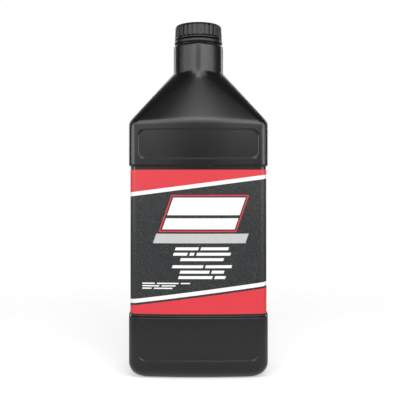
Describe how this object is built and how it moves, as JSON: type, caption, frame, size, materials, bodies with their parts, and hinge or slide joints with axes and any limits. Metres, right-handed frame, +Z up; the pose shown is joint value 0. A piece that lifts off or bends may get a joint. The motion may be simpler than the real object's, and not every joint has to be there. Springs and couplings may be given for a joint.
{
  "type": "empty oil bottle",
  "caption": "Empty one-quart plastic oil bottle with a sloping shoulder, a sunk label panel and a screw cap that turns and rises on its thread",
  "frame": {"origin": "middle of the base, on the surface the bottle stands on", "axes": "+Z up along the neck's axis, -Y out of the front face, +X to the right seen from the front"},
  "size_m": [0.0936, 0.064, 0.2362],
  "materials": {
    "body_plastic": "fine-grained blow-moulded black polyethylene",
    "cap_plastic": "injection-moulded black polypropylene, satin",
    "liner_foam": "white foamed polyethylene disc",
    "label_film": "black film with a fine grey speckle",
    "red_ink": "satin red ink",
    "white_ink": "satin white ink",
    "silver_ink": "light grey ink"
  },
  "bodies": {
    "bottle_body": {"bottle": "body_plastic", "tamper_ring": "cap_plastic", "label": "label_film", "label_red_print": "red_ink", "label_white_print": "white_ink", "label_silver_print": "silver_ink"},
    "lift_body": {"cap_liner": "liner_foam"},
    "cap_body": {"cap": "cap_plastic"}
  },
  "joints": [
    {"name": "cap_lift", "type": "slide", "parent": "bottle_body", "child": "lift_body", "axis": [0, 0, 1], "range_m": [0, 0.0127]},
    {"name": "cap_turn", "type": "hinge", "parent": "lift_body", "child": "cap_body", "pos_m": [0, 0, 0.23], "axis": [0, 0, 1], "range_deg": [0, 1080]}
  ],
  "couplings": [
    {"joint": "cap_lift", "follows": "cap_turn", "m_per_rad": 0.0006737}
  ]
}
